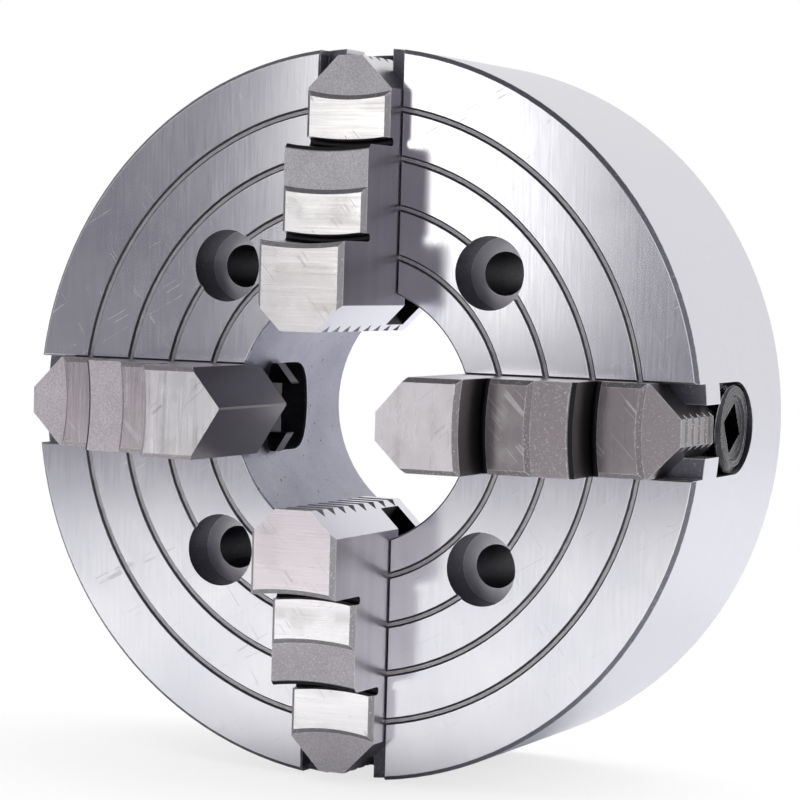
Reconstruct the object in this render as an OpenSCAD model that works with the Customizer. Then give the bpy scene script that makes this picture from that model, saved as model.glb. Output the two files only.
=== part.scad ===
// Four-jaw independent lathe chuck.
// The spindle axis is Y, the chuck face looks towards -Y and +Z is up.
// The origin is the centre of the back mounting face.
// Inside the modules, x is the distance from the spindle axis, y is depth and z is across a slot.

/* [Body] */
// Outside diameter of the chuck body
body_d = 200; // [190:1:240]
// Thickness of the body from face to back
body_t = 70; // [68:1:84]
// Diameter of the through bore
bore_d = 71; // [60:1:74]
// Diameter of the register in the back that seats on the adapter plate
register_d = 80; // [76:1:90]
// Depth of the back register
register_depth = 5.5; // [3:0.5:8]
// Chamfer round the front and back rims
rim_chamfer = 1.2; // [0.5:0.1:3]
// Radius of the innermost ring groove on the face
ring_r = 45; // [42:0.5:50]
// Distance from one ring groove to the next
ring_step = 13; // [8:0.5:15]
// Number of ring grooves
ring_count = 4; // [1:1:4]
// Width of a ring groove at the face
ring_w = 2; // [1:0.1:3]
// Width of a ring groove's flat floor
ring_floor_w = 0.8; // [0.4:0.1:0.9]
// Depth of a ring groove
ring_depth = 0.8; // [0.3:0.1:2]

/* [Mounting holes] */
// Pitch circle diameter of the mounting holes
bolt_pcd = 112; // [108:1:130]
// Diameter of a mounting hole
bolt_d = 12; // [9:0.5:14]
// Diameter of a mounting hole's counterbore
bolt_head_d = 20; // [15:0.5:22]
// Depth of a mounting hole's counterbore
bolt_head_depth = 11; // [6:1:25]

/* [Jaw slots] */
// Width of a slot at the face, and of the wide channel behind the rails
slot_w = 25; // [20:0.5:30]
// Width of the gap between a slot's two guide rails
rail_gap = 14; // [12:0.5:18]
// Depth of the front of the rails below the face
rail_front = 5.5; // [4:0.5:8]
// Depth of the back of the rails below the face
rail_back = 16.5; // [12:0.5:17]
// Depth of the jaw screws' axes below the face
screw_depth = 31; // [30:0.5:34]
// Break on the slot's edges at the face
slot_edge = 0.5; // [0.2:0.1:1]
// Sliding clearance on each guide face
guide_clearance = 0.05; // [0.02:0.01:0.1]

/* [Jaws] */
// Length of a jaw from tip to outer end
jaw_l = 74.4; // [70:0.2:84]
// Width of the flat at each jaw's tip, from jaw 1 to jaw 4
jaw_tip_w = [10.4, 7.4, 10.4, 0.6]; // [0.4:0.1:12]
// Length of the V at each jaw's tip
jaw_vee_l = [7.2, 8.4, 7, 8.8]; // [6:0.1:10]
// How far each jaw's tip is ground back
jaw_tip_cut = [0.2, 0.4, 1, 0]; // [0:0.1:2]
// How far each jaw's tip is off the middle of its slot
jaw_tip_shift = [0, 0.6, 0, 1.7]; // [-2:0.1:2]
// How far the web between each jaw's guide grooves is cut back from the tip, or 0
jaw_web_cut = [0, 0, 0, 9.5]; // [0:0.1:12]
// Width of the flat at a jaw's outer end
jaw_end_w = 7.2; // [5:0.2:9]
// Distance of the jaw tips from the spindle axis as drawn
jaw_rest_r = 22.8; // [16:0.2:30]
// Height of the lowest step's ground land above the face
jaw_low = 8; // [6:0.5:12]
// Rise from one ground land to the next
jaw_rise = 13; // [9:0.5:15]
// Height of a ground land above the rough front of its step, and its chamfer
land_h = 1.3; // [0.6:0.1:1.6]
// Length of the tall step, from the tip to its riser
nose_l = 23.3; // [20:0.1:26]
// Distance from the tip to the second riser
middle_l = 49.1; // [46:0.1:52]
// Gap between a riser and the ground land at its foot
land_gap = 2.2; // [1:0.1:3]
// Depth of the rounded relief groove at a riser's foot, below the rough front
relief_depth = 2.2; // [1.2:0.1:3]
// Radial length of a ground land
land_l = 11; // [6:0.5:12]
// Radius of the hollow risers
riser_r = 80; // [40:1:120]
// Number of serration notches in each jaw's tip
notch_count = [8, 8, 8, 0]; // [0:1:8]
// Distance from one serration notch to the next
notch_step = 6.25; // [4:0.05:6.5]
// Depth of a serration notch
notch_depth = 1.8; // [0.6:0.1:2.2]
// Number of notches in a jaw's outer end
end_notch_count = 5; // [1:1:5]
// Distance from one notch in the outer end to the next
end_notch_step = 5; // [3:0.1:5]
// Depth of a notch in the outer end
end_notch_depth = 1.2; // [0.6:0.1:1.6]
// Thickness of the flange behind the guide grooves
flange_t = 4.5; // [3:0.1:6]
// Depth below the face that the half nut reaches
nut_back = 24.5; // [22:0.5:25]
// Distance from the tip to the start of the half nut
nut_start = 11; // [8:0.5:20]

/* [Jaw screws] */
// Running clearance round a jaw screw in its bore
screw_clearance = 0.1; // [0.05:0.01:0.15]
// Pitch of the left-hand jaw screw thread
thread_pitch = 4; // [3:0.5:5]
// Depth of the thread
thread_h = 2; // [1:0.1:2.2]
// Clearance between a jaw screw and its half nut
thread_clearance = 0.15; // [0.1:0.01:0.2]
// Chamfer at both ends of a jaw screw
screw_chamfer = 1.2; // [0.5:0.1:2]
// How far the screw's outer end is below the rim
screw_inset = 1; // [0.9:0.1:3]
// Distance of a screw's inner end from the spindle axis
screw_inner_r = 46; // [44:0.5:52]
// Diameter of the shallow recess round the key socket
key_recess_d = 18; // [16:0.5:20]
// Square key socket across flats
key_w = 10; // [8:0.5:12]
// Depth of the key socket
key_depth = 13; // [8:0.5:16]
// Turn of the key socket in the drawn position, in degrees
key_turn = 30; // [0:1:89]

/* [Thrust blocks] */
// Distance of the thrust blocks from the spindle axis
block_r = 68; // [66:0.5:72]
// Thickness of a thrust block where it sits in the screw's neck
block_t = 8; // [6:0.5:10]
// Width of a thrust block
block_w = 22; // [18:0.5:24]
// Diameter of the screw's neck
neck_d = 15; // [12:0.5:16]
// Length of the plain shoulders on each side of the neck
collar_t = 2; // [1.5:0.1:3]
// Length of a thrust block's foot
foot_l = 34; // [30:0.5:38]
// Thickness of a thrust block's foot
foot_t = 6; // [4:0.5:8]
// Depth of the foot's face below the body's back
foot_inset = 0.5; // [0.3:0.1:1]
// Distance between a foot's two screws
foot_screw_pitch = 22; // [20:0.5:26]
// Diameter of the screws that hold a thrust block
foot_screw_d = 5; // [4:0.5:6]
// Length of the screws that hold a thrust block
foot_screw_l = 16; // [12:1:18]

/* [Hidden] */
$fn = 96;
eps = 0.01;
over = 1;

body_r = body_d / 2;
screw_bore_r = slot_w / 2;
screw_outer_r = body_r - screw_inset;
thread_r = screw_bore_r - screw_clearance;
thread_root_r = thread_r - thread_h;
// a thread turn has 18 sides, and the mating thread is larger by what its corners need
thread_sides = 18;
thread_growth = thread_r * (1 / cos(180 / thread_sides) - 1);
// width along the axis of a thread's flank and of its flat crest
thread_flank = thread_h * 0.3;
thread_crest = thread_pitch / 2 - thread_flank;
shoulder_r = thread_root_r * cos(180 / thread_sides) - guide_clearance;
neck_r = neck_d / 2;
neck_in = block_r - block_t / 2;
neck_out = block_r + block_t / 2;

jaw_h = slot_w / 2 - guide_clearance;
end_h = jaw_end_w / 2;
end_vee_l = jaw_h - end_h;
neck_h = rail_gap / 2 - guide_clearance;
low_front = -jaw_low + land_h;
middle_front = low_front - jaw_rise;
nose_front = middle_front - jaw_rise;
flange_back = rail_back + flange_t;
// small chamfer where a ground land meets its riser's gap
land_edge = 0.4;
// radius of the outer edge of the lowest land
low_land_r = riser_r * 0.7;
// depths of the first notch in the tip and in the outer end
notch_first = nose_front + 4;
end_notch_first = low_front + 4.2;

edge_break = 0.5;
key_recess_h = 0.8;
foot_front = body_t - foot_inset - foot_t;
foot_back = body_t - foot_inset;
foot_screw_r = foot_screw_d / 2;
foot_head_r = foot_screw_d;
foot_socket_r = foot_screw_d * 0.35;
foot_socket_h = 2.2;
// gap between a thrust block's saddle and the middle of the screw's neck
saddle_gap = 0.3;
hole_clearance = 0.1;

// Turns a piece drawn along +X to its slot. Slot 1 is at the top and they run clockwise.
module at_slot(i) {
    rotate([0, 90 * (i - 2), 0]) children();
}

// Extrudes a plan outline, drawn in distance and width, between two depths below the face.
module slab(front, back) {
    translate([0, front - body_t, 0]) rotate([-90, 0, 0]) linear_extrude(back - front) children();
}

// A round post along the spindle axis. r_back is its radius at its back end.
module post(x, r_front, r_back, front, back, z = 0) {
    translate([x, front - body_t, z]) rotate([-90, 0, 0])
        cylinder(h = back - front, r1 = r_front, r2 = r_back);
}

// A round bar along a slot, at the depth of the jaw screw's axis.
module bar(r, inner, outer) {
    translate([inner, screw_depth - body_t, 0]) rotate([0, 90, 0]) cylinder(h = outer - inner, r = r);
}

// A box centred across the slot.
module block(inner, outer, front, back, width) {
    translate([inner, front - body_t, -width / 2]) cube([outer - inner, back - front, width]);
}

// ---- Thread ----

// A point of a left-hand thread: k is the angular step, s the distance along the axis, r the radius.
function thread_point(k, s, r) = let(a = 360 * k / thread_sides) [s, r * sin(a), r * cos(a)];

// A closed left-hand thread along +X, from at least first_s to last_s. Every thread is in phase.
// grow widens the ridge, and radial_grow widens the root and the crest.
module thread(first_s, last_s, grow, radial_grow) {
    n = thread_sides;
    start = thread_pitch * (floor(first_s / thread_pitch) - 2);
    turns = ceil((last_s - start) / thread_pitch) + 1;
    end = start + thread_pitch * (turns + 1.5);
    rows = n * turns;
    root = thread_root_r + radial_grow;
    crest = thread_r + radial_grow;
    offsets = [-grow, thread_flank - grow, thread_flank + thread_crest + grow,
        2 * thread_flank + thread_crest + grow];
    radii = [root, crest, crest, root];
    base = start + thread_pitch / 2;
    ridge = [
        for (k = [0 : rows], j = [0 : 3])
            thread_point(k, base + thread_pitch * k / n + offsets[j], radii[j])
    ];
    first = len(ridge);
    start_ring = [for (k = [0 : n - 1]) thread_point(k, start, root)];
    last = first + n;
    end_ring = [for (k = [0 : n - 1]) thread_point(k, end, root)];
    function at(k, j) = 4 * k + j;
    function s_at(k) = first + k % n;
    function e_at(k) = last + k % n;
    strips = [
        for (k = [0 : rows - 1], j = [0 : 2], half = [0, 1])
            half == 0
                ? [at(k, j), at(k + 1, j), at(k + 1, j + 1)]
                : [at(k, j), at(k + 1, j + 1), at(k, j + 1)]
    ];
    roots = [for (k = [0 : rows - n - 1]) [at(k, 3), at(k + 1, 3), at(k + 1 + n, 0), at(k + n, 0)]];
    start_roots = [
        for (k = [0 : n - 1])
            k < n - 1
                ? [s_at(k), s_at(k + 1), at(k + 1, 0), at(k, 0)]
                : [s_at(k), s_at(0), at(0, 0), at(0, 3), at(n, 0), at(k, 0)]
    ];
    end_roots = [
        for (k = [rows - n : rows - 1])
            k > rows - n
                ? [at(k, 3), at(k + 1, 3), e_at(k + 1), e_at(k)]
                : [at(k, 3), at(k + 1, 3), e_at(k + 1), e_at(k), at(rows, 3), at(rows, 0)]
    ];
    caps = [
        [at(0, 0), at(0, 1), at(0, 2), at(0, 3)],
        [at(rows, 3), at(rows, 2), at(rows, 1), at(rows, 0)],
        [for (k = [n - 1 : -1 : 0]) s_at(k)],
        [for (k = [0 : n - 1]) e_at(k)]
    ];
    translate([0, screw_depth - body_t, 0])
        polyhedron(
            points = concat(ridge, start_ring, end_ring),
            faces = concat(strips, roots, start_roots, end_roots, caps),
            convexity = 10
        );
}

// ---- Chuck body ----

module body_slot() {
    inner = bore_d / 3;
    outer = body_r + over;
    block(inner, outer, -over, rail_front, slot_w);
    block(inner, outer, rail_front - eps, rail_back + eps, rail_gap);
    block(inner, outer, rail_back, screw_depth, slot_w);
    bar(screw_bore_r, inner, outer);
    // edge break at the face
    translate([inner, -body_t, 0]) rotate([0, 90, 0]) linear_extrude(outer - inner)
        polygon([
            [-slot_w / 2 - slot_edge, -eps],
            [slot_w / 2 + slot_edge, -eps],
            [slot_w / 2 - eps, slot_edge],
            [-slot_w / 2 + eps, slot_edge]
        ]);
}

module foot_screw_places() {
    for (side = [-1, 1]) translate([block_r + side * foot_screw_pitch / 2, 0, 0]) children();
}

module body_block_pocket() {
    block(neck_in, neck_out, screw_depth, foot_front + eps, block_w + 2 * hole_clearance);
    block(block_r - foot_l / 2 - hole_clearance, block_r + foot_l / 2 + hole_clearance,
        foot_front, body_t + over, block_w + 2 * hole_clearance);
    foot_screw_places()
        post(0, foot_screw_r + hole_clearance / 2, foot_screw_r + hole_clearance / 2,
            foot_back - foot_screw_l - over, foot_front + eps);
}

// Grooves with sloping walls. The outline runs past the face by eps.
module ring_grooves() {
    for (k = [0 : ring_count - 1])
        let(r = ring_r + k * ring_step, floor_h = ring_floor_w / 2, mouth_h = ring_w / 2)
            translate([0, -body_t, 0]) rotate([90, 0, 0]) rotate_extrude($fn = 180)
                polygon([
                    [r - floor_h, -ring_depth],
                    [r + floor_h, -ring_depth],
                    [r + mouth_h, 0],
                    [r + mouth_h, eps],
                    [r - mouth_h, eps],
                    [r - mouth_h, 0]
                ]);
}

module chuck_body() {
    c = rim_chamfer;
    bore_r = bore_d / 2;
    register_r = register_d / 2;
    color([0.72, 0.72, 0.74]) difference() {
        rotate([90, 0, 0]) rotate_extrude($fn = 180)
            polygon([
                [bore_r, register_depth],
                [register_r, register_depth],
                [register_r, edge_break],
                [register_r + edge_break, 0],
                [body_r - c, 0],
                [body_r, c],
                [body_r, body_t - c],
                [body_r - c, body_t],
                [bore_r + edge_break, body_t],
                [bore_r, body_t - edge_break]
            ]);
        ring_grooves();
        for (i = [1 : 4]) at_slot(i) {
            body_slot();
            body_block_pocket();
        }
        for (a = [45 : 90 : 315]) rotate([0, a, 0]) {
            post(bolt_pcd / 2, bolt_head_d / 2, bolt_head_d / 2, -over, bolt_head_depth);
            post(bolt_pcd / 2, bolt_d / 2, bolt_d / 2, bolt_head_depth - eps, body_t + over);
        }
    }
}

// ---- Jaws ----

// The plan of jaw i, from its tip to its outer end.
module jaw_outline(i) {
    tip = jaw_tip_cut[i - 1];
    vee_end = tip + jaw_vee_l[i - 1];
    middle = jaw_tip_shift[i - 1];
    tip_h = jaw_tip_w[i - 1] / 2;
    polygon([
        [tip, middle - tip_h], [vee_end, -jaw_h], [jaw_l - end_vee_l, -jaw_h], [jaw_l, -end_h],
        [jaw_l, end_h], [jaw_l - end_vee_l, jaw_h], [vee_end, jaw_h], [tip, middle + tip_h]
    ]);
}

// A bar as wide as a jaw, with a chamfer along both sides of its front.
module chamfered_bar(inner, outer, front, back) {
    translate([inner, front - body_t, 0]) rotate([0, 90, 0]) linear_extrude(outer - inner)
        polygon([
            [-jaw_h, back - front], [jaw_h, back - front], [jaw_h, land_h],
            [jaw_h - land_h, 0], [-jaw_h + land_h, 0], [-jaw_h, land_h]
        ]);
}

// What lies outside a hollow riser: a large post, flared at the front by the edge chamfer.
module outside_riser(x, front, back, r, chamfer) {
    post(x + r, r + chamfer + over, r, front - over, front + chamfer);
    post(x + r, r, r, front + chamfer - eps, back);
}

// The groove at the foot of a hollow riser. front is the depth of the rough front that it is cut in.
module relief(x, front, r) {
    floor_r = land_gap / 2;
    straight = relief_depth - floor_r;
    translate([x + r, front - body_t, 0]) rotate([-90, 0, 0]) rotate_extrude() {
        translate([r - land_gap, -over]) square([land_gap, straight + over]);
        translate([r - floor_r, straight]) circle(r = floor_r, $fn = 24);
    }
}

// A ground land with chamfered sides, standing on a step's rough front.
module land(inner, outer, inner_r, outer_r, front) {
    back = front + land_h + eps;
    end = outer + land_h;
    spare = 2 * land_h;
    difference() {
        intersection() {
            chamfered_bar(inner - spare, end + spare, front, back);
            post(inner + inner_r, inner_r - land_edge, inner_r, front - eps, back + eps);
        }
        post(end + outer_r, outer_r + land_h + eps, outer_r, front - eps, back);
    }
}

module jaw_steps(i) {
    difference() {
        // lowest step, guide head, and everything down to the flange
        slab(low_front, flange_back) jaw_outline(i);
        relief(middle_l, low_front, riser_r);
    }
    difference() {
        slab(middle_front, low_front + eps) jaw_outline(i);
        outside_riser(middle_l, middle_front, low_front + 2 * eps, riser_r, land_h);
        relief(nose_l, middle_front, riser_r);
    }
    difference() {
        intersection() {
            slab(nose_front - land_h, middle_front + eps) jaw_outline(i);
            chamfered_bar(-over, jaw_l + over, nose_front - land_h, middle_front + eps);
        }
        outside_riser(nose_l, nose_front - land_h, middle_front + 2 * eps, riser_r, land_h);
    }
    land(nose_l + land_gap, nose_l + land_gap + land_l, riser_r, riser_r, middle_front - land_h);
    land(middle_l + land_gap, middle_l + land_gap + land_l, riser_r, low_land_r, low_front - land_h);
    // half nut
    intersection() {
        slab(flange_back - eps, nut_back) jaw_outline(i);
        block(nut_start, jaw_l, flange_back - over, nut_back, slot_w);
    }
}

// A V notch right across the end of a jaw.
module notch(depth_below_face, h) {
    translate([0, depth_below_face - body_t, -slot_w / 2]) linear_extrude(slot_w)
        polygon([[-eps, -h - eps], [h, 0], [-eps, h + eps]]);
}

module jaw(i) {
    c = guide_clearance;
    color([0.66, 0.64, 0.63]) difference() {
        translate([jaw_rest_r, 0, 0]) difference() {
            jaw_steps(i);
            // guide grooves for the body's rails
            for (side = [-1, 1])
                translate([-over, rail_front - c - body_t, side > 0 ? neck_h : -neck_h - slot_w])
                    cube([jaw_l + 2 * over, rail_back - rail_front + 2 * c, slot_w]);
            // web and half nut cut back at the tip
            if (jaw_web_cut[i - 1] > 0)
                block(-over, jaw_web_cut[i - 1], rail_front - c, nut_back + over, 2 * neck_h + eps);
            // serrated tip and outer end
            if (notch_count[i - 1] > 0) for (k = [0 : notch_count[i - 1] - 1])
                translate([jaw_tip_cut[i - 1], 0, 0]) notch(notch_first + k * notch_step, notch_depth);
            for (k = [0 : end_notch_count - 1])
                translate([jaw_l, 0, 0]) mirror([1, 0, 0])
                    notch(end_notch_first + k * end_notch_step, end_notch_depth);
        }
        thread(jaw_rest_r, jaw_rest_r + jaw_l, thread_clearance, thread_growth + thread_clearance);
    }
}

// ---- Jaw screws ----

// The turned blank that the thread is cut on, with the neck for the thrust block.
module screw_blank() {
    c = screw_chamfer;
    r = thread_r + guide_clearance;
    recess_r = key_recess_d / 2;
    translate([0, screw_depth - body_t, 0]) rotate([0, 90, 0]) rotate_extrude()
        polygon([
            [0, screw_inner_r],
            [r - c, screw_inner_r],
            [r, screw_inner_r + c],
            [r, neck_in - collar_t - thread_h],
            [shoulder_r, neck_in - collar_t],
            [shoulder_r, neck_in],
            [neck_r, neck_in],
            [neck_r, neck_out],
            [shoulder_r, neck_out],
            [shoulder_r, neck_out + collar_t],
            [r, neck_out + collar_t + thread_h],
            [r, screw_outer_r - c],
            [r - c, screw_outer_r],
            [recess_r, screw_outer_r],
            [recess_r - key_recess_h, screw_outer_r - key_recess_h],
            [0, screw_outer_r - key_recess_h]
        ]);
}

module jaw_screw() {
    color([0.10, 0.10, 0.11]) difference() {
        intersection() {
            screw_blank();
            thread(screw_inner_r, screw_outer_r, 0, 0);
        }
        // key socket
        translate([screw_outer_r - key_depth, screw_depth - body_t, 0]) rotate([key_turn, 0, 0])
            translate([0, -key_w / 2, -key_w / 2]) cube([key_depth + over, key_w, key_w]);
    }
}

// ---- Thrust blocks ----

module thrust_block() {
    c = guide_clearance;
    hole_r = foot_screw_r + hole_clearance;
    // the countersink grows as fast as it deepens, and runs past the foot's face
    sink_r = foot_head_r + hole_clearance + over;
    sink_front = foot_back + over - (sink_r - foot_screw_r);
    color([0.35, 0.35, 0.37]) difference() {
        union() {
            block(neck_in + c, neck_out - c, screw_depth + saddle_gap, foot_front + eps, block_w);
            block(block_r - foot_l / 2, block_r + foot_l / 2, foot_front, foot_back, block_w);
        }
        bar(neck_r + c, neck_in - over, neck_out + over);
        foot_screw_places() {
            post(0, hole_r, hole_r, foot_front - over, foot_back + over);
            post(0, foot_screw_r, sink_r, sink_front, foot_back + over);
        }
    }
}

module block_screw(side) {
    x = block_r + side * foot_screw_pitch / 2;
    head_h = foot_head_r - foot_screw_r;
    color([0.16, 0.16, 0.17]) difference() {
        union() {
            post(x, foot_screw_r, foot_screw_r, foot_back - foot_screw_l, foot_back - head_h + eps);
            post(x, foot_screw_r, foot_head_r, foot_back - head_h, foot_back);
        }
        translate([x, foot_back - foot_socket_h - body_t, 0]) rotate([-90, 0, 0])
            cylinder(h = foot_socket_h + over, r = foot_socket_r, $fn = 6);
    }
}

chuck_body();
for (i = [1 : 4]) {
    at_slot(i) jaw(i);
    at_slot(i) jaw_screw();
    at_slot(i) thrust_block();
    at_slot(i) block_screw(-1);
    at_slot(i) block_screw(1);
}
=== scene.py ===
import math

import bmesh
import bpy
from mathutils import Matrix, Quaternion, Vector


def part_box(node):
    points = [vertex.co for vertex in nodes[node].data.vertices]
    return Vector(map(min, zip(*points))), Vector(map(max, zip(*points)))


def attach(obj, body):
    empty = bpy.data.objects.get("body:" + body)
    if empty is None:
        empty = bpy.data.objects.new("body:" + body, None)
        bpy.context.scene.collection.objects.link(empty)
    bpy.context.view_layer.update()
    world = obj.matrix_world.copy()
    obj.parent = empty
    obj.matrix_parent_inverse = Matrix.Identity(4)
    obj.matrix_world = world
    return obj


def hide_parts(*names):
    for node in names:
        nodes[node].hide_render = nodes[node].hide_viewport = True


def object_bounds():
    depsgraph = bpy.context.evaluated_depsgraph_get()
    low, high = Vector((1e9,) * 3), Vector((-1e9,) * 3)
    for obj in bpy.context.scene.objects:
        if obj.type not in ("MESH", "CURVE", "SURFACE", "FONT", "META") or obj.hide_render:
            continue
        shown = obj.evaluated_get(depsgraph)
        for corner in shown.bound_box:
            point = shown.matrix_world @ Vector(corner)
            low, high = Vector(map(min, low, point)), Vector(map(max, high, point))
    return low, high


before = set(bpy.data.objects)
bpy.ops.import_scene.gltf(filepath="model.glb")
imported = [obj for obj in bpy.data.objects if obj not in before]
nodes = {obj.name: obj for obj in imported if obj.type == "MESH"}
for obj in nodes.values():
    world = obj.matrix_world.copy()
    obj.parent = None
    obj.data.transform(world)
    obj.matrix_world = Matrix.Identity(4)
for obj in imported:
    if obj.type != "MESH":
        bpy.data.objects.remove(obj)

cadLow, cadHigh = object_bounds()
bodyLow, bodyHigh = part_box("chuck_body")
faceY = bodyLow.y  # front face of the chuck body
bodyRadius = bodyHigh.x
floorZ = cadLow.z
print("frame loaded:", len(nodes), "nodes")


# adds a shader node; an input is a fixed value or another node's output
def put(tree, kind, inputs=None, **settings):
    node = tree.nodes.new("ShaderNode" + kind)
    for key, value in settings.items():
        setattr(node, key, value)
    for key, value in (inputs or {}).items():
        if isinstance(value, bpy.types.NodeSocket):
            tree.links.new(value, node.inputs[key])
        else:
            node.inputs[key].default_value = value
    return node


def calc(tree, operation, *values, clamp=False):
    inputs = {i: value for i, value in enumerate(values)}
    return put(tree, "Math", inputs, operation=operation, use_clamp=clamp).outputs[0]


def ramp(tree, value, low, high, outLow=0.0, outHigh=1.0):
    inputs = {"Value": value, "From Min": low, "From Max": high, "To Min": outLow, "To Max": outHigh}
    return put(tree, "MapRange", inputs, clamp=True).outputs["Result"]


def blend(tree, amount, first, second):
    node = put(tree, "Mix", data_type="RGBA")
    for socket, value in ((node.inputs[0], amount), (node.inputs[6], first), (node.inputs[7], second)):
        if isinstance(value, bpy.types.NodeSocket):
            tree.links.new(value, socket)
        else:
            socket.default_value = value
    return node.outputs[2]


def blendValue(tree, amount, first, second):
    return ramp(tree, amount, 0.0, 1.0, first, second)


# 1 between low and high, 0 outside
def between(tree, value, low, high, soft=0.0001):
    rise = ramp(tree, value, low - soft, low)
    fall = ramp(tree, value, high, high + soft, 1.0, 0.0)
    return calc(tree, "MULTIPLY", rise, fall)


# turns a vector about the spindle axis
def turnAboutAxis(tree, vector, angle):
    return put(tree, "VectorRotate", {"Vector": vector, "Angle": angle}, rotation_type="Y_AXIS").outputs[0]


def makeGroup(name, inputs, outputs):
    group = bpy.data.node_groups.new(name, "ShaderNodeTree")
    for label, kind, default in inputs:
        socket = group.interface.new_socket(name=label, in_out="INPUT", socket_type="NodeSocket" + kind)
        if default is not None:
            socket.default_value = default
    for label, kind in outputs:
        group.interface.new_socket(name=label, in_out="OUTPUT", socket_type="NodeSocket" + kind)
    return group, group.nodes.new("NodeGroupInput"), group.nodes.new("NodeGroupOutput")


def use(tree, group, inputs):
    node = tree.nodes.new("ShaderNodeGroup")
    node.node_tree = group
    for key, value in inputs.items():
        if isinstance(value, bpy.types.NodeSocket):
            tree.links.new(value, node.inputs[key])
        else:
            node.inputs[key].default_value = value
    return node.outputs


def newMaterial(name):
    material = bpy.data.materials.new(name)
    material.use_nodes = True
    tree = material.node_tree
    shader = tree.nodes["Principled BSDF"]
    coords = put(tree, "TexCoord").outputs["Object"]
    return material, tree, shader, coords


def finish(tree, shader, color, roughness, height, strength, distance):
    shader.inputs["Metallic"].default_value = 1.0
    tree.links.new(color, shader.inputs["Base Color"])
    tree.links.new(roughness, shader.inputs["Roughness"])
    bump = put(tree, "Bump", {"Height": height, "Strength": strength, "Distance": distance})
    tree.links.new(bump.outputs[0], shader.inputs["Normal"])


def dress(name, material):
    slots = nodes[name].data.materials
    slots.clear()
    slots.append(material)


cameraSetup = {
    "place": (0.34763, -0.78938, 0.04288),
    "target": (0.0144, -0.07, 0.0047),
    "roll": 1.589,  # degrees
    "lens": 132.1,
}


def makeCamera(setup):
    data = bpy.data.cameras.new("camera")
    data.lens = setup["lens"]
    data.sensor_width = 36
    camera = bpy.data.objects.new("camera", data)
    bpy.context.scene.collection.objects.link(camera)
    place = Vector(setup["place"])
    forward = Vector(setup["target"]) - place
    camera.rotation_mode = "QUATERNION"
    turn = forward.to_track_quat("-Z", "Y")
    camera.rotation_quaternion = turn @ Quaternion((0, 0, 1), math.radians(setup["roll"]))
    camera.location = place
    bpy.context.scene.camera = camera


makeCamera(cameraSetup)
print("camera placed")

studio = {
    "floorRadius": 0.95,
    "floorColor": (0.90, 0.90, 0.91, 1),
    "leastWhite": 0.72,  # how white the paper looks right under the chuck
    "fadeFrom": 0.10,  # it turns to plain white between these distances
    "fadeTo": 0.30,
    "frontLight": (0.232, 0.226, 0.266, 1),
    "backLight": (1.0, 1.0, 1.0, 1),
}

softboxes = {
    # name: place, target, width, height, power, colour, seen in reflections
    "frontKey": ((-0.42, -1.07, 0.40), (0, 0, 0.05), 0.17, 0.86, 0.80, (1, 0.995, 0.98), True),
    "rightWall": ((1.3, -0.2, 0.5), (0, 0, 0), 1.4, 1.2, 4.5, (0.98, 0.98, 1), True),
    "frontTop": ((-0.4, -0.75, 1.3), (-0.4, -0.55, -0.1), 0.8, 0.5, 6.5, (1, 1, 1), False),
    "overhead": ((0.4, 0.3, 1.4), (0, -0.2, -0.1), 1.6, 1.2, 15.0, (1, 1, 1), False),
}


def makeFloor(setup):
    mesh = bpy.data.meshes.new("studioFloor")
    bm = bmesh.new()
    bmesh.ops.create_circle(bm, cap_ends=True, segments=96, radius=setup["floorRadius"])
    bmesh.ops.translate(bm, verts=bm.verts, vec=(0, 0, floorZ))
    bm.to_mesh(mesh)
    bm.free()
    floor = bpy.data.objects.new("studioFloor", mesh)
    bpy.context.scene.collection.objects.link(floor)
    material, tree, shader, coords = newMaterial("palePaper")
    shader.inputs["Base Color"].default_value = setup["floorColor"]
    shader.inputs["Roughness"].default_value = 0.9
    shader.inputs["Specular IOR Level"].default_value = 0.0
    white = put(tree, "Emission")
    distance = put(tree, "VectorMath", {0: coords}, operation="LENGTH").outputs["Value"]
    far = ramp(tree, distance, setup["fadeFrom"], setup["fadeTo"], setup["leastWhite"])
    seen = put(tree, "LightPath").outputs["Is Camera Ray"]
    amount = calc(tree, "MULTIPLY", far, seen)
    mixed = put(tree, "MixShader", {0: amount, 1: shader.outputs[0], 2: white.outputs[0]})
    tree.links.new(mixed.outputs[0], tree.nodes["Material Output"].inputs["Surface"])
    floor.data.materials.append(material)


def makeSoftboxes(boxes):
    for name, box in boxes.items():
        place, target, width, height, power, color, mirrored = box
        data = bpy.data.lights.new(name, "AREA")
        data.shape = "RECTANGLE"
        data.size, data.size_y = width, height
        data.energy = power
        data.color = color
        light = bpy.data.objects.new(name, data)
        light.location = place
        light.rotation_mode = "QUATERNION"
        light.rotation_quaternion = (Vector(target) - Vector(place)).to_track_quat("-Z", "Y")
        light.visible_camera = False
        light.visible_glossy = mirrored
        bpy.context.scene.collection.objects.link(light)


# the room is grey in front of the chuck and white behind it
def makeWorld(setup):
    world = bpy.data.worlds.new("studioWorld")
    world.use_nodes = True
    tree = world.node_tree
    back = tree.nodes["Background"]
    direction = put(tree, "SeparateXYZ", {"Vector": put(tree, "TexCoord").outputs["Generated"]})
    behind = ramp(tree, direction.outputs["Y"], -0.15, 0.35)
    room = blend(tree, behind, setup["frontLight"], setup["backLight"])
    seen = put(tree, "LightPath").outputs["Is Camera Ray"]
    tree.links.new(blend(tree, seen, room, (1, 1, 1, 1)), back.inputs["Color"])
    bpy.context.scene.world = world


makeFloor(studio)
makeSoftboxes(softboxes)
makeWorld(studio)
bpy.context.scene.view_settings.view_transform = "Standard"
print("studio lit")


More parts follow.
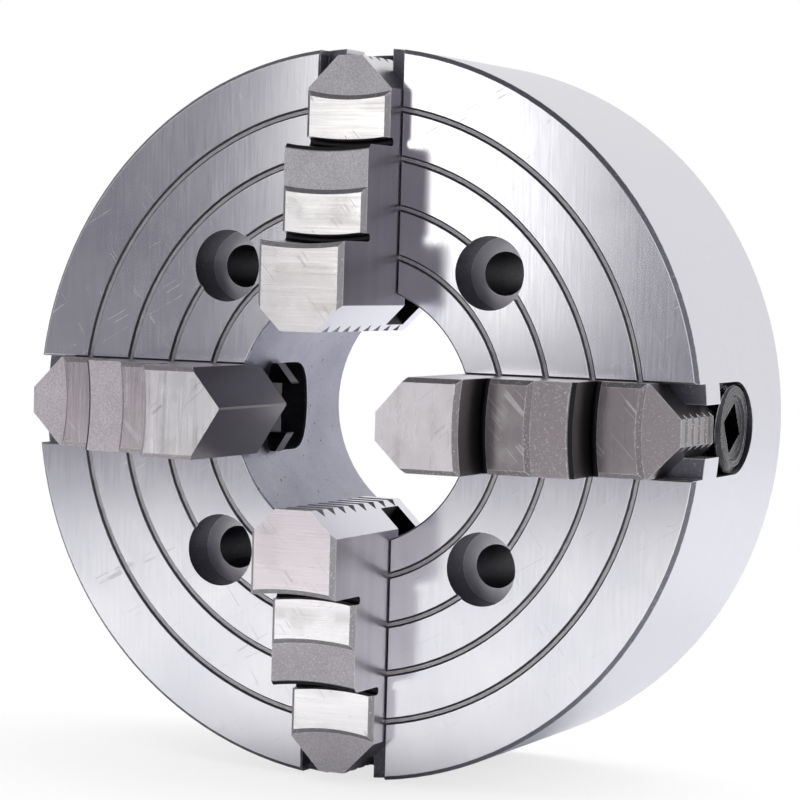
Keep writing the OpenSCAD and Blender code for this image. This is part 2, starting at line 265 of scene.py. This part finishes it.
# turns object coordinates so that x runs along a slot, y through the chuck and z across the slot
def makeSlotSpace():
    group, given, out = makeGroup(
        "slotSpace",
        [("Vector", "Vector", None), ("Normal", "Vector", None), ("Angle", "Float", 0.0)],
        [("Depth", "Float"), ("Across", "Float"), ("Vector", "Vector"), ("Facing", "Float"),
         ("Inward", "Float")],
    )
    turned = turnAboutAxis(group, given.outputs["Vector"], given.outputs["Angle"])
    normal = turnAboutAxis(group, given.outputs["Normal"], given.outputs["Angle"])
    place = put(group, "SeparateXYZ", {"Vector": turned})
    slope = put(group, "SeparateXYZ", {"Vector": normal})
    group.links.new(place.outputs["Y"], out.inputs["Depth"])
    group.links.new(place.outputs["Z"], out.inputs["Across"])
    group.links.new(turned, out.inputs["Vector"])
    group.links.new(calc(group, "MULTIPLY", slope.outputs["Y"], -1.0), out.inputs["Facing"])
    group.links.new(calc(group, "MULTIPLY", slope.outputs["X"], -1.0), out.inputs["Inward"])
    return group


# fine grinding lines: noise that is short across the lines and long along them
def makeGrindingLines():
    group, given, out = makeGroup(
        "grindingLines",
        [("Vector", "Vector", None), ("Stretch", "Vector", (1, 1, 1)), ("Scale", "Float", 900.0)],
        [("Fine", "Float"), ("Broad", "Float")],
    )
    stretched = put(group, "VectorMath", {0: given.outputs["Vector"], 1: given.outputs["Stretch"]},
                    operation="MULTIPLY").outputs[0]
    fine = put(group, "TexNoise", {"Vector": stretched, "Scale": given.outputs["Scale"], "Detail": 3.0})
    broadScale = calc(group, "MULTIPLY", given.outputs["Scale"], 0.13)
    broad = put(group, "TexNoise", {"Vector": stretched, "Scale": broadScale, "Detail": 2.0})
    group.links.new(fine.outputs["Fac"], out.inputs["Fine"])
    group.links.new(broad.outputs["Fac"], out.inputs["Broad"])
    return group


# thin straight lines: the middle values of noise that is stretched twenty to one
def makeThinScratches():
    group, given, out = makeGroup(
        "thinScratches",
        [("Vector", "Vector", None), ("Angle", "Float", 0.0), ("Scale", "Float", 60.0),
         ("Width", "Float", 0.012)],
        [("Mask", "Float")],
    )
    turned = turnAboutAxis(group, given.outputs["Vector"], given.outputs["Angle"])
    long = put(group, "VectorMath", {0: turned, 1: (0.05, 1.0, 3.0)}, operation="MULTIPLY").outputs[0]
    noise = put(group, "TexNoise", {"Vector": long, "Scale": given.outputs["Scale"], "Detail": 0.0})
    offset = calc(group, "ABSOLUTE", calc(group, "SUBTRACT", noise.outputs["Fac"], 0.5))
    line = calc(group, "SUBTRACT", 1.0, calc(group, "DIVIDE", offset, given.outputs["Width"]), clamp=True)
    patches = put(group, "TexNoise", {"Vector": turned, "Scale": 160.0, "Detail": 1.0})
    broken = ramp(group, patches.outputs["Fac"], 0.54, 0.62)
    group.links.new(calc(group, "MULTIPLY", line, broken), out.inputs["Mask"])
    return group


# bright edges, partly rubbed wear and partly a painted edge highlight: where a rounded normal leaves the
# flat one, broken up by noise
def makeRubbedEdgesAndHighlight():
    group, given, out = makeGroup(
        "rubbedEdgesAndHighlight",
        [("Vector", "Vector", None), ("Radius", "Float", 0.0004), ("Amount", "Float", 1.0)],
        [("Mask", "Float")],
    )
    rounded = put(group, "Bevel", {"Radius": given.outputs["Radius"]}, samples=4).outputs[0]
    flat = put(group, "NewGeometry").outputs["Normal"]
    level = put(group, "VectorMath", {0: rounded, 1: flat}, operation="DOT_PRODUCT").outputs["Value"]
    edge = ramp(group, level, 0.995, 0.90)
    patches = put(group, "TexNoise", {"Vector": given.outputs["Vector"], "Scale": 700.0, "Detail": 3.0})
    broken = ramp(group, patches.outputs["Fac"], 0.35, 0.6, 0.25, 1.0)
    wearAndHighlight = calc(group, "MULTIPLY", calc(group, "MULTIPLY", edge, broken), given.outputs["Amount"])
    group.links.new(wearAndHighlight, out.inputs["Mask"])
    return group


# the small pits and bright specks of a blasted or as-cast surface
def makeSpeckle():
    group, given, out = makeGroup(
        "speckle",
        [("Vector", "Vector", None), ("Scale", "Float", 2200.0)],
        [("Height", "Float"), ("Bright", "Float")],
    )
    cells = put(group, "TexVoronoi", {"Vector": given.outputs["Vector"], "Scale": given.outputs["Scale"]})
    noise = put(group, "TexNoise", {"Vector": given.outputs["Vector"], "Scale": given.outputs["Scale"],
                                    "Detail": 3.0, "Roughness": 0.7})
    height = calc(group, "MULTIPLY", cells.outputs["Distance"], noise.outputs["Fac"])
    group.links.new(height, out.inputs["Height"])
    group.links.new(ramp(group, noise.outputs["Fac"], 0.57, 0.70), out.inputs["Bright"])
    return group


slotSpace = makeSlotSpace()
grindingLines = makeGrindingLines()
thinScratches = makeThinScratches()
rubbedEdgesAndHighlight = makeRubbedEdgesAndHighlight()
speckle = makeSpeckle()
print("shared shader groups made")


# chuck body: ground face with ring grooves, turned rim, rougher slots and bore
bodyFinish = {
    "ground": (0.80, 0.80, 0.81, 1),
    "groundDark": (0.70, 0.70, 0.73, 1),
    "roughSpeck": (0.34, 0.34, 0.38, 1),
    "rough": (0.16, 0.16, 0.18, 1),
    "boreFloor": (0.62, 0.61, 0.63, 1),  # of the mounting holes' counterbores
    "bore": (0.31, 0.31, 0.38, 1),
    "boreLight": (0.42, 0.42, 0.49, 1),
    "rimDark": (0.58, 0.58, 0.63, 1),
    "rim": (0.70, 0.70, 0.745, 1),
    "back": (0.60, 0.60, 0.62, 1),
    "backDark": (0.42, 0.42, 0.44, 1),
    "pore": (0.08, 0.08, 0.09, 1),
    "wearAndHighlight": (0.90, 0.90, 0.90, 1),
    # painted shade: the ring grooves' walls are near-black and their floors a darker grey
    "grooveWallShade": (0.14, 0.14, 0.15, 1),
    "grooveFloorShade": (0.42, 0.41, 0.42, 1),
    "scratch": (0.45, 0.45, 0.47, 1),
    "faceRoughness": 0.17,
    "roughRoughness": 0.45,
    # where each finish lies, in metres: radii, and depths below the face
    "boreRadii": (0.0358, 0.0364),
    "ringRadii": (0.0435, 0.0862),
    "ringDepths": (0.00015, 0.00085),
    "boreFloorDepths": (0.0105, 0.0115),
    "faceDepths": (0.00005, 0.00015),
}


def makeBodySteel(look):
    material, tree, shader, coords = newMaterial("groundBodySteel")
    normal = put(tree, "SeparateXYZ", {"Vector": put(tree, "TexCoord").outputs["Normal"]})
    place = put(tree, "SeparateXYZ", {"Vector": coords})
    flat = put(tree, "CombineXYZ", {"X": place.outputs["X"], "Z": place.outputs["Z"]}).outputs[0]
    radius = put(tree, "VectorMath", {0: flat}, operation="LENGTH").outputs["Value"]
    depth = calc(tree, "SUBTRACT", place.outputs["Y"], faceY)
    facing = calc(tree, "ABSOLUTE", normal.outputs["Y"])
    onFace = ramp(tree, depth, *look["faceDepths"], 1.0, 0.0)
    onBack = ramp(tree, depth, -faceY - 0.001, -faceY - 0.0006)
    onRim = calc(tree, "MULTIPLY", ramp(tree, radius, bodyRadius - 0.0015, bodyRadius - 0.001),
                 ramp(tree, facing, 0.3, 0.5, 1.0, 0.0))
    inBore = ramp(tree, radius, *look["boreRadii"], 1.0, 0.0)
    ringGround = put(tree, "CombineXYZ", {"X": radius, "Y": place.outputs["Y"]}).outputs[0]
    lines = use(tree, grindingLines, {"Vector": coords, "Stretch": (1.0, 1.0, 0.05), "Scale": 1500.0})
    turned = use(tree, grindingLines, {"Vector": ringGround, "Stretch": (1.0, 1.0, 1.0), "Scale": 2600.0})
    pits = use(tree, speckle, {"Vector": coords, "Scale": 1500.0})
    nicksOne = use(tree, thinScratches, {"Vector": coords, "Angle": 0.5, "Scale": 45.0, "Width": 0.004})
    nicksTwo = use(tree, thinScratches, {"Vector": coords, "Angle": 2.2, "Scale": 60.0, "Width": 0.003})
    wearAndHighlight = use(tree, rubbedEdgesAndHighlight, {"Vector": coords, "Radius": 0.0005, "Amount": 0.9})["Mask"]
    cloudy = put(tree, "TexNoise", {"Vector": coords, "Scale": 28.0, "Detail": 3.0}).outputs["Fac"]
    ground = blend(tree, ramp(tree, cloudy, 0.35, 0.65), look["ground"], look["groundDark"])
    rough = blend(tree, pits["Bright"], look["rough"], look["roughSpeck"])
    porous = put(tree, "TexNoise", {"Vector": coords, "Scale": 520.0, "Detail": 2.0}).outputs["Fac"]
    boreWall = blend(tree, ramp(tree, cloudy, 0.35, 0.65), look["bore"], look["boreLight"])
    boreWall = blend(tree, ramp(tree, porous, 0.70, 0.74), boreWall, look["pore"])
    color = blend(tree, inBore, rough, boreWall)
    color = blend(tree, onRim, color, blend(tree, turned["Fine"], look["rim"], look["rimDark"]))
    boreFloor = calc(tree, "MULTIPLY", between(tree, depth, *look["boreFloorDepths"]),
                     ramp(tree, facing, 0.9, 0.95))
    color = blend(tree, boreFloor, color, look["boreFloor"])
    smooth = calc(tree, "MAXIMUM", onFace, onBack)
    color = blend(tree, smooth, color, ground)
    color = blend(tree, onBack, color, blend(tree, turned["Fine"], look["back"], look["backDark"]))
    # the ring grooves are below the face but well above everything else; their walls and floors are painted
    # darker as shade
    shadedGroove = calc(tree, "MULTIPLY", between(tree, depth, *look["ringDepths"]), ramp(tree, facing, 0.4, 0.5))
    shadedGroove = calc(tree, "MULTIPLY", shadedGroove, between(tree, radius, *look["ringRadii"], 0.0002))
    grooveShadeColor = blend(tree, ramp(tree, facing, 0.9, 0.97), look["grooveWallShade"], look["grooveFloorShade"])
    color = blend(tree, shadedGroove, color, grooveShadeColor)
    scratch = calc(tree, "MULTIPLY", calc(tree, "MAXIMUM", nicksOne["Mask"], nicksTwo["Mask"]), smooth)
    color = blend(tree, calc(tree, "MULTIPLY", scratch, 0.35), color, look["scratch"])
    # painted edge highlight and rubbed wear: the edges are lightened towards near-white
    color = blend(tree, wearAndHighlight, color, look["wearAndHighlight"])
    shiny, matte = look["faceRoughness"], look["roughRoughness"]
    faceRough = ramp(tree, lines["Fine"], 0.3, 0.7, shiny * 0.85, shiny * 1.15)
    faceRough = calc(tree, "ADD", faceRough, calc(tree, "MULTIPLY", scratch, 0.15))
    otherRough = ramp(tree, pits["Height"], 0.0, 0.5, matte * 0.8, matte * 1.2)
    level = blendValue(tree, smooth, otherRough, faceRough)
    height = blendValue(tree, smooth, pits["Height"], calc(tree, "MULTIPLY", lines["Fine"], 0.12))
    # the rim and the back are turned on a lathe
    onTurned = calc(tree, "MAXIMUM", onRim, onBack)
    level = blendValue(tree, onTurned, level, ramp(tree, turned["Fine"], 0.3, 0.7, 0.26, 0.36))
    height = blendValue(tree, onTurned, height, calc(tree, "MULTIPLY", turned["Fine"], 0.25))
    finish(tree, shader, color, level, height, 0.25, 0.00008)
    return material


# jaws: ground lands, blasted step fronts, relief grooves and guide grooves painted dark as shade, and each
# jaw's colours painted lighter or darker for how light falls on it
jawFinishAndPaintedLight = {
    # painted light and shade: the colours differ from jaw to jaw as lit and shaded copies of one ground
    # steel
    # for each slot: colours of the nose's ground front, the lower lands, the V facets, the blasted
    # step fronts and the notched outer end, how rough a land is, how pitted the V facets are, the
    # colour of the chamfers, and 1 where the web between the guide grooves is cut back at the tip
    1: {
        "nose": (0.92, 0.895, 0.87, 1), "land": (1.0, 0.985, 0.95, 1), "vee": (0.76, 0.76, 0.82, 1),
        "blasted": (0.74, 0.72, 0.725, 1), "end": (0.66, 0.65, 0.67, 1), "rough": 0.24, "pitting": 0.5,
        "chamfer": (0.36, 0.35, 0.355, 1), "openWeb": 0.0,
    },
    2: {
        "nose": (0.78, 0.75, 0.755, 1), "land": (0.29, 0.26, 0.265, 1), "vee": (0.55, 0.51, 0.52, 1),
        "blasted": (0.41, 0.37, 0.38, 1), "end": (0.26, 0.245, 0.25, 1), "rough": 0.30, "pitting": 0.3,
        "chamfer": (0.27, 0.25, 0.255, 1), "openWeb": 0.0,
    },
    3: {
        "nose": (0.82, 0.755, 0.77, 1), "land": (0.93, 0.915, 0.90, 1), "vee": (0.78, 0.77, 0.83, 1),
        "blasted": (0.61, 0.585, 0.60, 1), "end": (0.60, 0.58, 0.60, 1), "rough": 0.24, "pitting": 0.5,
        "chamfer": (0.38, 0.37, 0.375, 1), "openWeb": 0.0,
    },
    4: {
        "nose": (0.94, 0.92, 0.91, 1), "land": (0.66, 0.60, 0.61, 1), "vee": (0.17, 0.155, 0.165, 1),
        "blasted": (0.72, 0.67, 0.69, 1), "end": (0.50, 0.48, 0.49, 1), "rough": 0.24, "pitting": 0.03,
        "chamfer": (0.42, 0.39, 0.40, 1), "openWeb": 1.0,
    },
}
jawSurface = {
    "blastedPit": (0.34, 0.325, 0.33, 1),
    "blastedSpeck": (0.86, 0.85, 0.84, 1),
    "side": (0.62, 0.59, 0.63, 1),
    # dark: painted near-black shade for the relief grooves, guide grooves and open webs
    "dark": (0.025, 0.024, 0.026, 1),
    "wearAndHighlight": (0.92, 0.91, 0.90, 1),
    "streak": (0.50, 0.48, 0.46, 1),
    "dull": (0.42, 0.40, 0.40, 1),
    "sideStreak": (0.46, 0.44, 0.47, 1),
    "veePit": (0.88, 0.88, 0.90, 1),
    # where each finish lies, in metres; depths count from the back of the chuck, which is 0
    "landDepths": (-0.104, -0.091, -0.078),
    "noseDepths": (-0.1035, -0.1030),
    "frontDepths": (-0.0897, -0.0767),
    "reliefDepths": (0.0004, 0.0035),  # behind a step's front
    "guideDepths": (-0.0648, -0.0532),  # the grooves that run on the body's rails
    "guideHalfWidth": 0.0073,
    "webBack": -0.0488,  # where the open web ends, behind the flange
}


# 1 where a depth lies between two distances from any of some levels
def nearAny(tree, depth, levels, low, high, soft=0.0001):
    found = None
    for level in levels:
        here = between(tree, depth, level + low, level + high, soft)
        found = here if found is None else calc(tree, "MAXIMUM", found, here)
    return found


def makeJawSteelWithPaintedLight(slot, look, surface):
    material, tree, shader, coords = newMaterial("jawSteelPaintedLit" + str(slot))
    angle = math.radians(-90 * (slot - 2))
    normal = put(tree, "TexCoord").outputs["Normal"]
    local = use(tree, slotSpace, {"Vector": coords, "Normal": normal, "Angle": angle})
    facing, inward, depth = local["Facing"], local["Inward"], local["Depth"]
    toFront = ramp(tree, facing, 0.93, 0.97)
    sloped = between(tree, facing, 0.5, 0.88, 0.05)
    onLand = calc(tree, "MULTIPLY", nearAny(tree, depth, surface["landDepths"], -0.0002, 0.0002), toFront)
    onFront = calc(tree, "MULTIPLY", nearAny(tree, depth, surface["frontDepths"], -0.0003, 0.0003), toFront)
    atTip = ramp(tree, inward, 0.5, 0.65)
    lines = use(tree, grindingLines,
                {"Vector": local["Vector"], "Stretch": (1.0, 1.0, 0.04), "Scale": 1400.0})
    sideLines = use(tree, grindingLines,
                    {"Vector": local["Vector"], "Stretch": (0.05, 1.0, 1.0), "Scale": 1300.0})
    pits = use(tree, speckle, {"Vector": coords, "Scale": 2100.0})
    smudge = put(tree, "TexNoise", {"Vector": coords, "Scale": 110.0, "Detail": 5.0}).outputs["Fac"]
    crossOne = use(tree, thinScratches,
                   {"Vector": local["Vector"], "Angle": 0.7, "Scale": 120.0, "Width": 0.03})
    crossTwo = use(tree, thinScratches,
                   {"Vector": local["Vector"], "Angle": -0.8, "Scale": 130.0, "Width": 0.03})
    wearAndHighlight = use(tree, rubbedEdgesAndHighlight, {"Vector": coords, "Radius": 0.0004, "Amount": 0.8})["Mask"]
    atNose = ramp(tree, depth, *surface["noseDepths"], 1.0, 0.0)
    land = blend(tree, atNose, look["land"], look["nose"])
    streaked = calc(tree, "MULTIPLY", ramp(tree, lines["Broad"], 0.42, 0.68),
                    ramp(tree, smudge, 0.42, 0.62))
    land = blend(tree, calc(tree, "MULTIPLY", streaked, 0.55), land, surface["streak"])
    land = blend(tree, calc(tree, "MULTIPLY", crossOne["Mask"], 0.6), land, surface["dull"])
    land = blend(tree, calc(tree, "MULTIPLY", crossTwo["Mask"], 0.4), land, surface["wearAndHighlight"])
    side = blend(tree, calc(tree, "MULTIPLY", ramp(tree, sideLines["Broad"], 0.35, 0.65), 0.4),
                 surface["side"], surface["sideStreak"])
    mottled = calc(tree, "MULTIPLY", ramp(tree, pits["Height"], 0.05, 0.32, 1.0, 0.0), 0.5)
    blasted = blend(tree, mottled, look["blasted"], surface["blastedPit"])
    blasted = blend(tree, ramp(tree, smudge, 0.3, 0.7, 0.0, 0.25), blasted, surface["blastedPit"])
    blasted = blend(tree, calc(tree, "MULTIPLY", pits["Bright"], 0.7), blasted, surface["blastedSpeck"])
    edgeFace = blend(tree, pits["Bright"], look["chamfer"], surface["blastedSpeck"])
    pitted = blend(tree, calc(tree, "MULTIPLY", pits["Bright"], look["pitting"]), look["vee"],
                   surface["veePit"])
    atEnd = ramp(tree, inward, -0.65, -0.5, 1.0, 0.0)
    color = blend(tree, atTip, side, pitted)
    color = blend(tree, atEnd, color, look["end"])
    color = blend(tree, sloped, color, edgeFace)
    color = blend(tree, onFront, color, blasted)
    color = blend(tree, onLand, color, land)
    quietTip = ramp(tree, atTip, 0.0, 1.0, 1.0, min(1.0, look["pitting"] * 2))
    # painted edge highlight and rubbed wear, less of it at the tip
    color = blend(tree, calc(tree, "MULTIPLY", wearAndHighlight, quietTip), color, surface["wearAndHighlight"])
    # what faces forward just below a step front is the floor of a relief groove, painted near-black as
    # shade
    low = ramp(tree, facing, 0.1, 0.2)
    deep = nearAny(tree, depth, surface["frontDepths"], *surface["reliefDepths"], 0.0002)
    shadedGroove = calc(tree, "MULTIPLY", deep, low)
    # guide grooves: their floors, and their walls except at the two ends, painted near-black as shade
    inGuide = between(tree, depth, *surface["guideDepths"])
    fromMiddle = calc(tree, "ABSOLUTE", local["Across"])
    halfWidth = surface["guideHalfWidth"]
    guideWall = ramp(tree, fromMiddle, halfWidth, halfWidth + 0.0002, 1.0, 0.0)
    guideFloor = ramp(tree, calc(tree, "ABSOLUTE", facing), 0.9, 0.95)
    notTip = ramp(tree, calc(tree, "ABSOLUTE", inward), 0.3, 0.5, 1.0, 0.0)
    guideInside = calc(tree, "MAXIMUM", guideFloor, calc(tree, "MULTIPLY", guideWall, notTip))
    guide = calc(tree, "MULTIPLY", inGuide, guideInside)
    shadedGroove = calc(tree, "MAXIMUM", shadedGroove, guide)
    # the cut face of an open web, through the flange as well, painted near-black as shade
    inWeb = between(tree, depth, surface["guideDepths"][0], surface["webBack"])
    openWeb = calc(tree, "MULTIPLY", calc(tree, "MULTIPLY", inWeb, guideWall), look["openWeb"])
    shadedGroove = calc(tree, "MAXIMUM", shadedGroove, openWeb)
    # painted shade in the grooves and the open web
    color = blend(tree, shadedGroove, color, surface["dark"])
    landRough = ramp(tree, lines["Fine"], 0.3, 0.7, look["rough"] * 0.85, look["rough"] * 1.2)
    level = blendValue(tree, calc(tree, "MAXIMUM", onFront, sloped), 0.3, 0.58)
    level = blendValue(tree, onLand, level, landRough)
    height = blendValue(tree, onLand, pits["Height"], calc(tree, "MULTIPLY", lines["Fine"], 0.15))
    matte = calc(tree, "MAXIMUM", calc(tree, "MAXIMUM", onFront, sloped), onLand)
    height = blendValue(tree, matte, calc(tree, "MULTIPLY", sideLines["Fine"], 0.2), height)
    finish(tree, shader, color, level, height, 0.5, 0.00012)
    return material


# jaw screws: black oxide with turned rings on the end, and thread edges lightened as rubbed wear and
# painted edge highlight
screwFinish = {
    "oxide": (0.045, 0.045, 0.05, 1),
    "oxideLight": (0.075, 0.075, 0.08, 1),
    "rubbedAndHighlight": (0.42, 0.41, 0.42, 1),
    "ringPitch": 0.0011,
}


def makeScrewOxide(slot, look):
    material, tree, shader, coords = newMaterial("screwOxide" + str(slot))
    angle = math.radians(-90 * (slot - 2))
    normal = put(tree, "TexCoord").outputs["Normal"]
    local = use(tree, slotSpace, {"Vector": coords, "Normal": normal, "Angle": angle})
    height = calc(tree, "SUBTRACT", local["Depth"], screwAxisY)
    flat = put(tree, "CombineXYZ", {"X": height, "Y": local["Across"]}).outputs[0]
    radius = put(tree, "VectorMath", {0: flat}, operation="LENGTH").outputs["Value"]
    onEnd = ramp(tree, calc(tree, "ABSOLUTE", local["Inward"]), 0.93, 0.97)
    wave = calc(tree, "SINE", calc(tree, "MULTIPLY", radius, 2 * math.pi / look["ringPitch"]))
    rings = calc(tree, "MULTIPLY", ramp(tree, wave, -1.0, 1.0), onEnd)
    pits = use(tree, speckle, {"Vector": coords, "Scale": 1500.0})
    wearAndHighlight = use(tree, rubbedEdgesAndHighlight, {"Vector": coords, "Radius": 0.0004, "Amount": 0.9})["Mask"]
    color = blend(tree, pits["Bright"], look["oxide"], look["oxideLight"])
    color = blend(tree, calc(tree, "MULTIPLY", rings, 0.7), color, look["oxideLight"])
    # painted edge highlight and rubbed wear on the oxide
    color = blend(tree, wearAndHighlight, color, look["rubbedAndHighlight"])
    level = ramp(tree, pits["Height"], 0.0, 0.5, 0.20, 0.36)
    bumps = calc(tree, "ADD", calc(tree, "MULTIPLY", rings, 0.5),
                 calc(tree, "MULTIPLY", pits["Height"], 0.08))
    finish(tree, shader, color, level, bumps, 0.8, 0.00015)
    return material


# thrust blocks are machined and oiled, their screws are black
blockFinish = {
    "dark": (0.30, 0.30, 0.32, 1),
    "light": (0.42, 0.42, 0.44, 1),
    "wearAndHighlight": (0.7, 0.7, 0.7, 1),
    "roughness": 0.35,
}
blockScrewFinish = {
    "dark": (0.04, 0.04, 0.045, 1),
    "light": (0.08, 0.08, 0.085, 1),
    "wearAndHighlight": (0.7, 0.7, 0.7, 1),
    "roughness": 0.4,
}


def makeMachinedSteel(name, look):
    material, tree, shader, coords = newMaterial(name)
    lines = use(tree, grindingLines, {"Vector": coords, "Stretch": (0.3, 1.0, 1.0), "Scale": 1100.0})
    pits = use(tree, speckle, {"Vector": coords, "Scale": 1600.0})
    wearAndHighlight = use(tree, rubbedEdgesAndHighlight, {"Vector": coords, "Radius": 0.0003, "Amount": 0.7})["Mask"]
    color = blend(tree, ramp(tree, lines["Broad"], 0.35, 0.65), look["dark"], look["light"])
    # painted edge highlight and rubbed wear
    color = blend(tree, wearAndHighlight, color, look["wearAndHighlight"])
    level = ramp(tree, lines["Fine"], 0.3, 0.7, look["roughness"] * 0.8, look["roughness"] * 1.2)
    finish(tree, shader, color, level, pits["Height"], 0.2, 0.0001)
    return material


# jaw screws: a left-hand thread with steep flanks, a neck, and a key socket in the outer end
screwShape = {
    "pitch": 0.004,
    "threadHeight": 0.002,
    "flank": 0.0006,  # length of a sloping flank
    "crest": 0.0014,
    "steps": 72,  # round the axis
    "neckInner": 0.064,  # stations along the slot
    "neckOuter": 0.072,
    "neckRadius": 0.0075,
    "shoulderRadius": 0.01019,
    "shoulder": 0.002,
    "endChamfer": 0.0012,
    "recessRadius": 0.009,
    "recessDepth": 0.0008,
    "socket": 0.010,  # across flats
    "socketDepth": 0.013,
    "socketTurn": math.radians(30),
    "merge": 0.000002,  # vertices closer than this are joined
    "neckWall": 0.00002,  # length over which a wall of the neck rises
    "rimWidth": 0.00005,  # first inset of a capping face
    "sharpAngle": math.radians(35),
}


# radius of the turned blank at a station along the slot
def blankRadius(shape, station, inner, outer, radius):
    fromEnd = min(station - inner, outer - station)
    limit = radius - shape["endChamfer"] + max(fromEnd, 0.0)
    if shape["neckInner"] < station < shape["neckOuter"]:
        return shape["neckRadius"]
    fromNeck = max(shape["neckInner"] - station, station - shape["neckOuter"])
    runOut = shape["shoulderRadius"] + max(fromNeck - shape["shoulder"], 0.0)
    return min(limit, runOut, radius)


# moves the inner rim of a capping face to a given outline and station
def stepInto(bm, face, width, station, outline):
    bmesh.ops.inset_individual(bm, faces=[face], thickness=width)
    for vert in face.verts:
        across, deep = vert.co.z, vert.co.y - screwAxisY
        angle = math.atan2(deep, across)
        radius = outline(angle)
        vert.co = (station, screwAxisY + radius * math.sin(angle), radius * math.cos(angle))


def makeScrewMesh(shape, inner, outer, radius):
    bm = bmesh.new()
    pitch, root = shape["pitch"], radius - shape["threadHeight"]
    flank, crest = shape["flank"], shape["crest"]
    # one pitch of the thread: root, flank, crest, flank
    halfway = radius - shape["threadHeight"] / 2
    gap = pitch - 2 * flank - crest
    tooth = [(0.0, root), (flank / 2, halfway), (flank, radius)]
    tooth += [(flank + crest * part, radius) for part in (0.33, 0.67, 1.0)]
    tooth += [(1.5 * flank + crest, halfway), (2 * flank + crest, root)]
    tooth += [(2 * flank + crest + gap * part, root) for part in (0.33, 0.67)]
    firstTurn = math.floor(inner / pitch) - 2
    lastTurn = math.ceil(outer / pitch) + 1
    verts = [
        bm.verts.new((pitch * (turn + 0.5) + s, screwAxisY, r))
        for turn in range(firstTurn, lastTurn)
        for s, r in tooth
    ]
    edges = [bm.edges.new(pair) for pair in zip(verts, verts[1:])]
    steps = shape["steps"]
    bmesh.ops.spin(bm, geom=verts + edges, cent=(0, screwAxisY, 0), axis=(-1, 0, 0),
                   dvec=(pitch / steps, 0, 0), angle=math.tau, steps=steps)
    bmesh.ops.remove_doubles(bm, verts=bm.verts, dist=shape["merge"])
    # extra rows where the neck's walls stand, then the ends are cut square
    wall = shape["neckWall"]
    cuts = [shape["neckInner"], shape["neckInner"] + wall, shape["neckOuter"] - wall, shape["neckOuter"]]
    for station in cuts:
        bmesh.ops.bisect_plane(bm, geom=bm.verts[:] + bm.edges[:] + bm.faces[:],
                               plane_co=(station, 0, 0), plane_no=(1, 0, 0))
    for station, direction in ((inner, -1), (outer, 1)):
        bmesh.ops.bisect_plane(bm, geom=bm.verts[:] + bm.edges[:] + bm.faces[:],
                               plane_co=(station, 0, 0), plane_no=(direction, 0, 0), clear_outer=True)
    for vert in bm.verts:
        deep, across = vert.co.y - screwAxisY, vert.co.z
        limit = blankRadius(shape, vert.co.x, inner, outer, radius)
        share = min(1.0, limit / math.hypot(deep, across))
        vert.co.y, vert.co.z = screwAxisY + deep * share, across * share
    caps = []
    for station in (inner, outer):
        rim = [
            edge for edge in bm.edges
            if edge.is_boundary and abs(edge.verts[0].co.x - station) < 5 * shape["merge"]
        ]
        caps += bmesh.ops.contextual_create(bm, geom=rim)["faces"]
    cap = caps[-1]
    recess = shape["recessRadius"]
    floor = outer - shape["recessDepth"]
    half = shape["socket"] / 2

    def square(angle):
        turned = angle + shape["socketTurn"]
        return half / max(abs(math.cos(turned)), abs(math.sin(turned)))

    width = shape["rimWidth"]
    stepInto(bm, cap, width, outer, lambda angle: recess)
    stepInto(bm, cap, width, floor, lambda angle: recess - shape["recessDepth"])
    stepInto(bm, cap, width, floor, square)
    stepInto(bm, cap, width, outer - shape["socketDepth"], square)
    bmesh.ops.recalc_face_normals(bm, faces=bm.faces)
    mesh = bpy.data.meshes.new("screw")
    bm.to_mesh(mesh)
    bm.free()
    return mesh


def makeScrews(shape):
    inner, outer = screwLow.x, screwHigh.x
    radius = (screwHigh.z - screwLow.z) / 2
    for slot in (1, 2, 3, 4):
        mesh = makeScrewMesh(shape, inner, outer, radius)
        mesh.transform(Matrix.Rotation(math.radians(90 * (slot - 2)), 4, "Y"))
        mesh.materials.append(makeScrewOxide(slot, screwFinish))
        screw = bpy.data.objects.new(f"threaded_screw_{slot}", mesh)
        bpy.context.scene.collection.objects.link(screw)
        mesh.shade_smooth()
        mesh.set_sharp_from_angle(angle=shape["sharpAngle"])
        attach(screw, f"jaw_screw_{slot}")
        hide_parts(f"jaw_screw_{slot}")


screwLow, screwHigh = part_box("jaw_screw_2")
screwAxisY = (screwLow.y + screwHigh.y) / 2
dress("chuck_body", makeBodySteel(bodyFinish))
blockSteel = makeMachinedSteel("blockSteel", blockFinish)
blockScrewBlack = makeMachinedSteel("capScrewBlack", blockScrewFinish)
for slot in (1, 2, 3, 4):
    dress(f"jaw_{slot}", makeJawSteelWithPaintedLight(slot, jawFinishAndPaintedLight[slot], jawSurface))
    dress(f"thrust_block_{slot}", blockSteel)
    for side in ("inner", "outer"):
        dress(f"block_screw_{slot}_{side}", blockScrewBlack)
print("materials set")
makeScrews(screwShape)
print("jaw screws threaded")
